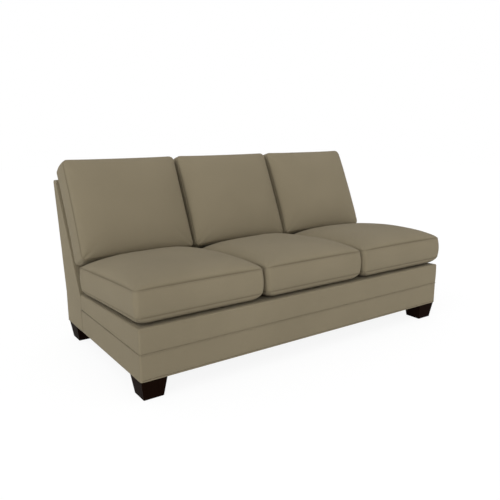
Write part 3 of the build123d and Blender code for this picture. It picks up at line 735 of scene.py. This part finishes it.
welt_line = [
    (-HALF - WELT_PROUD, BACK_START + OVERLAP, SEAM), (-HALF - WELT_PROUD, FRONT + EDGE, SEAM)
]
turn = EDGE + WELT_PROUD
for step in range(1, 8):
    angle = pi + step * pi / 16
    welt_line.append((-HALF + EDGE + turn * cos(angle), FRONT + EDGE + turn * sin(angle), SEAM))
welt_line.append((-HALF + EDGE, FRONT - WELT_PROUD, SEAM))
welt_line += [(-x, y, z) for x, y, z in reversed(welt_line)]
upholstery(cord("base_corded_seam", [welt_line], WELT, False), "base_welt")


SLACK = 0.0008
SLACK_WAVES_PER_METRE = 6


def slack(across, along):
    """How far flat cloth stands off the padding under it, unevenly."""
    wave = noise.noise(Vector((across, along, 9)) * SLACK_WAVES_PER_METRE)
    return abs(wave) * SLACK


def deck_place(s, t):
    x = (HALF - SIDE_RETURN) * (2 * s - 1)
    y = FRONT + FRONT_RETURN + (BACK_START - FRONT - FRONT_RETURN) * t
    return (x, y, deck_level(y) + slack(x, y)), (x, y), 0.0


DECK_WARP = (0.150, 0.124, 0.086)
DECK_WEFT = (0.118, 0.096, 0.066)
DECK_GAP = (0.060, 0.048, 0.032)
DECK_YARN = 0.0009
DECK_RELIEF = 0.0002
deck_lining = woven(
    "deck_lining_cloth", DECK_WARP, DECK_WEFT, DECK_GAP, DECK_YARN, DECK_RELIEF
)
deck_piece = cloth_panel("seat_deck_cloth", 120, 44, deck_place, CLOTH, deck_lining)
upholstery(deck_piece, "deck_cloth", slot="deck_cloth")

# ---- Back covers: flat side panels, an inside cover that goes up the rake and over the top,
# and an outside cover below a seam behind the top. All are sewn edge to edge.
REAR = FRONT + 0.888
RAKE_START = 0.26195
KINK = 0.235
BACK_TOP = 0.791
INSIDE_RAKE = radians(26.6)
OUTSIDE_RAKE = radians(9.007)
TOP_EDGE = 0.016
SEWN_EDGE = 0.004
SEWN_MARGIN = 0.29 * SEWN_EDGE
EDGE_TUCK = 0.0002
EDGE_TUCK_FADE = 0.0012
TOP_NIP = 0.86
SIDE_SWELL = 0.0012
SWELL_REACH = 0.05
UNEVEN_SIDE = 0.0006
UNEVEN_WAVES_PER_METRE = 12
KINK_ROUNDING = 0.02
ARC_STEPS = 8
ROW_LENGTH = 0.009
REAR_TUCK = 0.4 * SEAM_TUCK
REAR_TUCK_FADE = 0.004
REAR_SEAM = BACK_TOP - 2 * TOP_EDGE


def inside_depth(z):
    return BACK_START + max(0.0, z - RAKE_START) * tan(INSIDE_RAKE)


def outside_depth(z):
    return REAR + max(0.0, z - KINK) * tan(OUTSIDE_RAKE)


def rolled(distance):
    """How far a face lies in from its plane, near an edge that it shares with another."""
    short = max(0.0, SEWN_EDGE - distance)
    tuck = EDGE_TUCK * exp(-(distance - SEWN_MARGIN) / EDGE_TUCK_FADE)
    return SEWN_EDGE - sqrt(max(0.0, SEWN_EDGE**2 - short**2)) + tuck


def side_cover(side):
    """The back's side panel, between the inside and the outside cover."""
    def place(s, t):
        z = BOTTOM + (BACK_TOP - SEWN_MARGIN - BOTTOM) * (1 - (1 - t) ** 1.5)
        above = max(0.0, z - (BACK_TOP - SEWN_MARGIN - TOP_EDGE))
        nip = TOP_EDGE - sqrt(max(0.0, TOP_EDGE**2 - min(above, TOP_EDGE) ** 2))
        front = inside_depth(z) + SEWN_MARGIN + nip * TOP_NIP
        rear = outside_depth(z) - SEWN_MARGIN - nip * TOP_NIP
        share = eased(1 - s if side < 0 else s)
        y = front + (rear - front) * share
        lean = cos(INSIDE_RAKE) if z > RAKE_START else 1.0
        distance = min((y - front) * lean, rear - y, BACK_TOP - SEWN_MARGIN - z) + SEWN_MARGIN
        swell = SIDE_SWELL * min(1, (distance - SEWN_MARGIN) / SWELL_REACH)
        uneven = noise.noise(Vector((y, z, 5)) * UNEVEN_WAVES_PER_METRE) * UNEVEN_SIDE
        sunk = rolled(distance) - swell - uneven
        return (side * (HALF - sunk), y, z), (side * y, z), near_seam(distance - SEWN_MARGIN)
    return place


def traced(corners, radii):
    """Points along straight runs joined by arcs, with the length run to each. Corners are
    given as (depth, height)."""
    corners = [(*corner, 0) for corner in corners]
    points = [Vector(corners[0])]
    for before, corner, after, radius in zip(corners, corners[1:], corners[2:], radii):
        here = Vector(corner)
        back, ahead = (Vector(before) - here).normalized(), (Vector(after) - here).normalized()
        half = back.angle(ahead) / 2
        centre = here + (back + ahead).normalized() * (radius / sin(half))
        start, end = here + back * (radius / tan(half)), here + ahead * (radius / tan(half))
        for step in range(ARC_STEPS + 1):
            toward = (start - centre).lerp(end - centre, step / ARC_STEPS)
            points.append(centre + toward.normalized() * radius)
    points.append(Vector(corners[-1]))
    lengths = [0.0]
    for before, after in zip(points, points[1:]):
        lengths.append(lengths[-1] + (after - before).length)
    return points, lengths


def along_trace(points, lengths, length):
    """Point and direction at a length along the traced line."""
    for index in range(1, len(points)):
        if length <= lengths[index] or index == len(points) - 1:
            step = points[index] - points[index - 1]
            share = (length - lengths[index - 1]) / (lengths[index] - lengths[index - 1])
            return points[index - 1] + step * share, step.normalized()


# The inside cover ends a little below the rear seam and the outside one a little above it.
inside_end = REAR_SEAM - OVERLAP / 2
outside_end = REAR_SEAM + OVERLAP / 2
inside_line = traced(
    [
        (BACK_START + OVERLAP, RAKE_START),
        (inside_depth(BACK_TOP), BACK_TOP),
        (outside_depth(BACK_TOP), BACK_TOP),
        (outside_depth(inside_end), inside_end),
    ],
    [TOP_EDGE, TOP_EDGE],
)
outside_line = traced(
    [
        (REAR - UNDER_RETURN, BOTTOM),
        (REAR, BOTTOM),
        (REAR, KINK),
        (outside_depth(outside_end), outside_end),
    ],
    [UNDER_EDGE, KINK_ROUNDING],
)


def back_rows(line):
    """Rows at every point of a traced line, with more along its straight runs."""
    lengths = line[1]
    runs = [after - before for before, after in zip(lengths, lengths[1:])]
    return spaced(*((run, 1 + int(run / ROW_LENGTH)) for run in runs))


def back_face(line, facing):
    """A cover across the whole back that follows a traced line, rolled in at its sides."""
    points, lengths = line
    rows = back_rows(line)
    total = lengths[-1]

    def place(s, t):
        x = facing * (HALF - SEWN_MARGIN) * (2 * eased(s) - 1)
        length = by_stations(rows, t)
        point, run = along_trace(points, lengths, length)
        sunk = rolled(HALF - abs(x))
        sunk -= slack(x, length)
        sunk += REAR_TUCK * exp(-(total - length) / REAR_TUCK_FADE)
        normal = Vector((-run.y, run.x, 0)) if facing > 0 else Vector((run.y, -run.x, 0))
        point = point - normal * sunk
        near = near_seam(min(HALF - SEWN_MARGIN - abs(x), total - length))
        return (x, point.x, point.y), (x, length), near
    return place


BACK_COLUMNS = 150
SIDE_CUTS = (44, 96)
for name, node, line, facing in (
    ("back_inside_cover", "inside_back_cover", inside_line, 1),
    ("back_outside_cover", "outside_back_cover", outside_line, -1),
):
    cover = cloth_panel(name, BACK_COLUMNS, steps(back_rows(line)), back_face(line, facing))
    upholstery(cover, node)
for side, name in ((-1, "left"), (1, "right")):
    piece = cloth_panel(f"back_side_panel_{name}", *SIDE_CUTS, side_cover(side))
    upholstery(piece, f"back_side_cover_{name}")

# ---- Loose cushions: three on the seat and three against the back, each a foam block in a
# boxed cover with a corded seam round both faces. They lie a little to the right of the
# middle, and the outer ones spread over the open ends.
END_INSET = 0.004
SIDE_BULGE = 0.006
OPEN_BULGE = 0.005
FACE_BULGE = 0.0085
SEAM_DRAW = 0.003
CLEARANCE = 0.0015
SEAM_GAP = 0.017
SHIFT = 0.012
PITCH = (2 * (HALF - END_INSET) + SEAM_GAP) / 3
WIDTH = PITCH - SEAM_GAP
PIPING = 0.0015
BOXING_SEAM = 0.0009
ZIP_PANEL = 0.042
EDGE_BAND = 0.2
BULGE_BAND = 0.1
EVEN_SHARE = 0.22
CROWN_SQUARENESS = 2.6
CROWN_FULLNESS = 0.42
CROWN_UNEVEN = 0.004
PUCKER = 0.0011
PUCKERS_PER_METRE = 42
PUCKER_FADE = 0.022
PUCKER_START = 0.004
RIPPLE = 0.0022
RIPPLES_PER_METRE = 11
RIPPLE_START = 0.03
RIPPLE_FADE = 0.12
NOISE_STEP = 3.7
TINY = 1e-6
CUSHION_CUTS = (71, 73, 17)
SETTLING = 20
PUFF = 0.006
EASE = 0.25
PLACES = {"left": -1, "centre": 0, "right": 1}
SEAT = {
    "length": 0.62824, "boxing": 0.103, "crown": 0.072, "corners": (0.022, 0.012),
    "spread": (0.021, 0.013), "fall": radians(3.6), "front": 0.006, "seam": 0.345,
}
BACK = {
    "length": 0.496, "boxing": 0.110, "crown": 0.060, "corners": (0.024, 0.026),
    "spread": (0.009, 0.009), "lean": radians(24.6), "depth": 0.630, "seam": 0.443,
}


def seat_place(x):
    """Origin, depth direction and facing direction of a seat cushion, and its rest plane."""
    fall = SEAT["fall"]
    origin = Vector((x, FRONT + SEAT["front"], SEAT["seam"]))
    rest = Vector((x, origin.y, deck_level(origin.y) + CLEARANCE))
    return (
        origin, Vector((0, cos(fall), -sin(fall))), Vector((0, sin(fall), cos(fall))),
        rest, Vector((0, sin(DECK_FALL), cos(DECK_FALL))),
    )


def back_place(x):
    """The same for a back cushion, which stands on its edge and faces forward."""
    lean = BACK["lean"]
    facing = Vector((0, -cos(lean), sin(lean)))
    origin = Vector((x, FRONT + BACK["depth"], BACK["seam"])) - facing * BACK["boxing"]
    rest = Vector((x, inside_depth(origin.z) - CLEARANCE / cos(INSIDE_RAKE), origin.z))
    return (
        origin, Vector((0, sin(lean), cos(lean))), facing,
        rest, Vector((0, -cos(INSIDE_RAKE), sin(INSIDE_RAKE))),
    )


def crowded(value):
    """Moves grid lines towards both edges, where the seams are."""
    return EVEN_SHARE * value + (1 - EVEN_SHARE) * sin(pi / 2 * value)


def edge_share(value, band):
    """How far into a band along the unit square's edge a place is: 0 up to it, 1 at the edge."""
    return max(0.0, (abs(value) - (1 - band)) / band)


def ring_point(sizes, a, b):
    """Where a place on the unit square lands on the cushion's rounded plan."""
    reach = max(abs(a), abs(b))
    half_x, half_y = sizes["sides"][a > 0], sizes["length"] / 2
    x, y = a * half_x, b * half_y
    corner = sizes["corners"][b > 0] * edge_share(reach, EDGE_BAND) ** 1.5
    inner_x, inner_y = half_x * reach - corner, half_y * reach - corner
    over_x, over_y = abs(x) - inner_x, abs(y) - inner_y
    if corner > 0 and over_x > 0 and over_y > 0:
        span = hypot(over_x, over_y)
        grown = max(over_x, over_y) / span
        x = (inner_x + over_x * grown) * (1 if x > 0 else -1)
        y = (inner_y + over_y * grown) * (1 if y > 0 else -1)
    draw = SEAM_DRAW * reach**3
    x -= draw * a * (1 - b * b) / max(reach, 0.001)
    y -= draw * b * (1 - a * a) / max(reach, 0.001)
    return x, y


def boxing_bulge(sizes, a, b):
    """How far the boxing stands out, half-way between its seams, at a place on the edge."""
    toward_x = min(1.0, edge_share(a, BULGE_BAND))
    toward_y = min(1.0, edge_share(b, BULGE_BAND))
    push_x = sizes["bulges"][a > 0] * toward_x**0.7 * (1 if a > 0 else -1)
    push_y = FACE_BULGE * toward_y**0.7 * (1 if b > 0 else -1)
    return push_x * (1 - 0.5 * toward_y**3), push_y * (1 - 0.5 * toward_x**3)


def crown_share(a, b):
    """How much of the crown's height a place on the unit square has."""
    if max(abs(a), abs(b)) >= 1:
        return 0.0
    low_a, low_b = abs(a) ** CROWN_SQUARENESS, abs(b) ** CROWN_SQUARENESS
    return ((1 - low_a) * (1 - low_b)) ** CROWN_FULLNESS


def rest_share(a, b):
    """How much of the way down to where it rests the cushion's underside comes."""
    near = [edge_share(value, EDGE_BAND) for value in (a, b)]
    return sqrt((1 - near[0] ** 2) * (1 - near[1] ** 2))


def puckers(x, y, z, seam_distance):
    """Small gathers that fade away from a seam, with a softer unevenness beyond."""
    place = Vector((x, y, z))
    gathers = noise.noise(place * PUCKERS_PER_METRE) * PUCKER
    gathers *= exp(-seam_distance / PUCKER_FADE)
    soft = noise.noise(place * RIPPLES_PER_METRE) * RIPPLE
    soft *= 1 - exp(-seam_distance / RIPPLE_START)
    return gathers + soft * exp(-seam_distance / RIPPLE_FADE)


def cushion(name, sizes, place, seed):
    """A boxed cushion from a divided cube: flat where it rests, bulged boxing, crowned face."""
    origin, deep, facing, rest, rest_normal = place
    bm = bmesh.new()
    bmesh.ops.create_cube(bm, size=2)
    for axis, cuts in enumerate(CUSHION_CUTS):
        runs = [
            edge for edge in bm.edges
            if abs(edge.verts[0].co[axis] - edge.verts[1].co[axis]) > TINY
        ]
        bmesh.ops.subdivide_edges(bm, edges=runs, cuts=cuts, use_grid_fill=True)
    for vert in bm.verts:
        vert.co = [crowded(value) for value in vert.co]
    layer = bm.loops.layers.uv.new("UVMap")
    sewn = bm.verts.layers.float.new("seam")
    under = bm.verts.layers.float.new("under")
    half_y, half_z = sizes["length"] / 2, sizes["boxing"] / 2
    for face in bm.faces:
        normal = face.normal
        for loop in face.loops:
            a, b, c = loop.vert.co
            half_x = sizes["sides"][a > 0]
            if abs(normal.z) > 0.5:
                loop[layer].uv = (a * half_x, b * half_y)
            elif abs(normal.x) > 0.5:
                loop[layer].uv = (b * half_y, c * half_z)
            else:
                loop[layer].uv = (a * half_x, c * half_z)
    for vert in bm.verts:
        a, b, c = vert.co
        x, y = ring_point(sizes, a, b)
        across = min((1 - abs(a)) * WIDTH / 2, (1 - abs(b)) * half_y)
        level = sizes["boxing"] * (c + 1) / 2
        if across < TINY:
            from_seam = (1 - abs(c)) * half_z
            push_x, push_y = boxing_bulge(sizes, a, b)
            full = (1 - c * c) * (1 + puckers(x + seed, y, level, from_seam) / FACE_BULGE)
            x, y = x + push_x * full, y + push_y * full
        point = origin + Vector((x, 0, 0)) + deep * (y + half_y)
        if c > 0.9999:
            from_seam = across
            level += sizes["crown"] * crown_share(a, b)
            level += noise.noise(Vector((x * 5, y * 5, seed))) * CROWN_UNEVEN * crown_share(a, b)
            level += puckers(x, y, seed, across) * min(1.0, across / PUCKER_START)
        elif c < -0.9999:
            from_seam = across
            drop = (rest - point).dot(rest_normal) / facing.dot(rest_normal)
            level += drop * rest_share(a, b)
            vert[under] = 1.0
        vert[sewn] = near_seam(from_seam)
        vert.co = point + facing * level
    bmesh.ops.recalc_face_normals(bm, faces=bm.faces)
    still = {index for index, vert in enumerate(bm.verts) if vert[under] > 0.5}
    piece = to_piece(bm, name, cover_cloth)
    for vert, moved in zip(piece.data.vertices, filled(piece)):
        shift = moved - vert.co
        capped = min(1.0, PUFF / max(shift.length, 1e-9))
        vert.co += shift * capped * EASE * (vert.index not in still)
    smooth = piece.modifiers.new("smooth", "SUBSURF")
    smooth.levels = smooth.render_levels = 1
    return piece


def filled(piece):
    """Where the cover's points go as the filling blows it out with its seams held."""
    seams = piece.vertex_groups.new(name="seams")
    for index, near in enumerate(piece.data.attributes["seam"].data):
        seams.add([index], near.value, "REPLACE")
    cloth = piece.modifiers.new("cloth", "CLOTH")
    cloth.settings.quality = 4
    cloth.settings.mass = 0.3
    cloth.settings.tension_stiffness = 40
    cloth.settings.compression_stiffness = 40
    cloth.settings.shear_stiffness = 12
    cloth.settings.bending_stiffness = 0.6
    cloth.settings.use_pressure = True
    cloth.settings.uniform_pressure_force = 4
    cloth.settings.effector_weights.gravity = 0
    cloth.settings.vertex_group_mass = "seams"
    cloth.point_cache.frame_start = 1
    cloth.point_cache.frame_end = SETTLING
    for step in range(1, SETTLING + 1):
        scene.frame_set(step)
    blown = piece.evaluated_get(bpy.context.evaluated_depsgraph_get())
    moved = [vert.co.copy() for vert in blown.to_mesh().vertices]
    blown.to_mesh_clear()
    piece.modifiers.remove(cloth)
    piece.vertex_groups.remove(seams)
    scene.frame_set(1)
    return moved


def boxing_point(sizes, place, a, b, level, lift=0.0):
    """A point on the boxing, or a little outside it, at a level between its seams."""
    origin, deep, facing, _, _ = place
    c = 2 * level / sizes["boxing"] - 1
    x, y = ring_point(sizes, a, b)
    push_x, push_y = boxing_bulge(sizes, a, b)
    x += push_x * (1 - c * c) + lift * (abs(a) == 1) * a
    y += push_y * (1 - c * c) + lift * (abs(b) == 1) * b
    return origin + Vector((x, 0, 0)) + deep * (y + sizes["length"] / 2) + facing * level


def seam_loop(sizes, place, level):
    """Points round one of a cushion's two corded seams."""
    points = []
    count = 64
    corners = [(-1, -1), (1, -1), (1, 1), (-1, 1)]
    for index in range(4):
        here, there = corners[index], corners[(index + 1) % 4]
        for step in range(count):
            share = step / count
            a = here[0] + (there[0] - here[0]) * share
            b = here[1] + (there[1] - here[1]) * share
            points.append(boxing_point(sizes, place, a, b, level))
    return points


def zip_panel_seams(sizes, place, end):
    """The two upright seams where the zip's panel, which turns both corners, meets the rest."""
    b = end * (1 - ZIP_PANEL / (sizes["length"] / 2))
    levels = [sizes["boxing"] * step / 16 for step in range(17)]
    return [[boxing_point(sizes, place, a, b, level) for level in levels] for a in (-1, 1)]


ZIP_INSET = 0.078
ZIP_WIDTH = 0.008
ZIP_TOOTH = 0.0016
ZIP_COIL_HALF = 0.0022
ZIP_RELIEF = 0.0005
ZIP_THICKNESS = 0.0012
ZIP_LIFT = 0.0006
ZIP_DOME = 0.0005
ZIP_TAPE_COLOUR = (0.030, 0.025, 0.018)
ZIP_COIL_COLOUR = (0.105, 0.088, 0.064)
PULL_SIZE = (0.011, 0.0018, 0.005)
PULL_LIFT = 0.0022
PULL_ALONG = 0.03
zip_black, zip_tree, zip_shader = plain_material("zip_tape_and_coil", 0.55)
zip_flat = zip_tree.nodes.new("ShaderNodeTexCoord").outputs["UV"]
zip_split = zip_tree.nodes.new("ShaderNodeSeparateXYZ")
zip_tree.links.new(zip_flat, zip_split.inputs[0])
turns = maths(zip_tree, "MULTIPLY", zip_split.outputs["X"], 2 * pi / ZIP_TOOTH)
teeth = maths(zip_tree, "SINE", turns)
off_middle = maths(zip_tree, "ABSOLUTE", zip_split.outputs["Y"])
coil = maths(zip_tree, "LESS_THAN", off_middle, ZIP_COIL_HALF)
tooth = maths(zip_tree, "MULTIPLY", maths(zip_tree, "MULTIPLY_ADD", teeth, 0.5, 0.5), coil)
zip_colour = blended(zip_tree, tooth, ZIP_TAPE_COLOUR, ZIP_COIL_COLOUR)
zip_tree.links.new(zip_colour, zip_shader.inputs["Base Color"])
bumped(zip_tree, zip_shader, tooth, ZIP_RELIEF)
zip_metal = steel("zip_pull_metal", (0.36, 0.34, 0.30), (0.26, 0.24, 0.21), 0.38)


def zip_place(sizes, place, end):
    """The closed zip, along the middle of its panel."""
    def at(s, t):
        a = end * -(2 * s - 1) * (1 - ZIP_INSET / (WIDTH / 2))
        off = ZIP_WIDTH * (t - 0.5)
        level = sizes["boxing"] / 2 + off
        lift = ZIP_LIFT + ZIP_DOME * (1 - (2 * t - 1) ** 2)
        return boxing_point(sizes, place, a, end, level, lift), (a * WIDTH / 2, off), 0.0
    return at


def zip_pull(name, sizes, place, end):
    """The zip's small pull, lying along the coil."""
    bm = bmesh.new()
    bmesh.ops.create_cube(bm, size=1)
    _, deep, facing, _, _ = place
    a = 1 - ZIP_INSET / (WIDTH / 2) - PULL_ALONG
    centre = boxing_point(sizes, place, a, end, sizes["boxing"] / 2, PULL_LIFT)
    bmesh.ops.bevel(bm, geom=bm.edges[:], offset=0.12, segments=2, affect="EDGES")
    for vert in bm.verts:
        along, out, up = [share * size for share, size in zip(vert.co, PULL_SIZE)]
        vert.co = centre + Vector((along, 0, 0)) + deep * out + facing * up
    bmesh.ops.recalc_face_normals(bm, faces=bm.faces)
    return to_piece(bm, name, zip_metal)


for kind, sizes, place_at in (("seat", SEAT, seat_place), ("back", BACK, back_place)):
    zip_end = 1 if kind == "seat" else -1
    for number, (name, step) in enumerate(PLACES.items()):
        place = place_at(step * PITCH + SHIFT)
        shape = dict(sizes)
        spread = [sizes["spread"][side > 0] * (step == side) for side in (-1, 1)]
        shape["sides"] = [WIDTH / 2 + extra for extra in spread]
        shape["bulges"] = [OPEN_BULGE if step == side else SIDE_BULGE for side in (-1, 1)]
        body = f"{kind}_cushion_{name}"
        piece = cushion(body, shape, place, number * NOISE_STEP + (kind == "back"))
        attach(piece, body)
        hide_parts(f"{kind}_cushion_cover_{name}", f"{kind}_cushion_core_{name}")
        loops = [seam_loop(shape, place, level) for level in (0.0, shape["boxing"])]
        seams = zip_panel_seams(shape, place, zip_end)
        for label, made in (
            ("corded_seams", cord(f"{body}_corded_seams", loops, PIPING, True)),
            ("zip_panel_seams", cord(f"{body}_zip_panel_seams", seams, BOXING_SEAM, False)),
        ):
            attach(made, body)
        tape = zip_place(shape, place, zip_end)
        zipped = cloth_panel(f"{body}_zip", 160, 8, tape, ZIP_THICKNESS, zip_black)
        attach(zipped, body)
        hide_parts(f"{kind}_cushion_zip_{name}")
        puller = zip_pull(f"{body}_zip_pull", shape, place, zip_end)
        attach(puller, body)
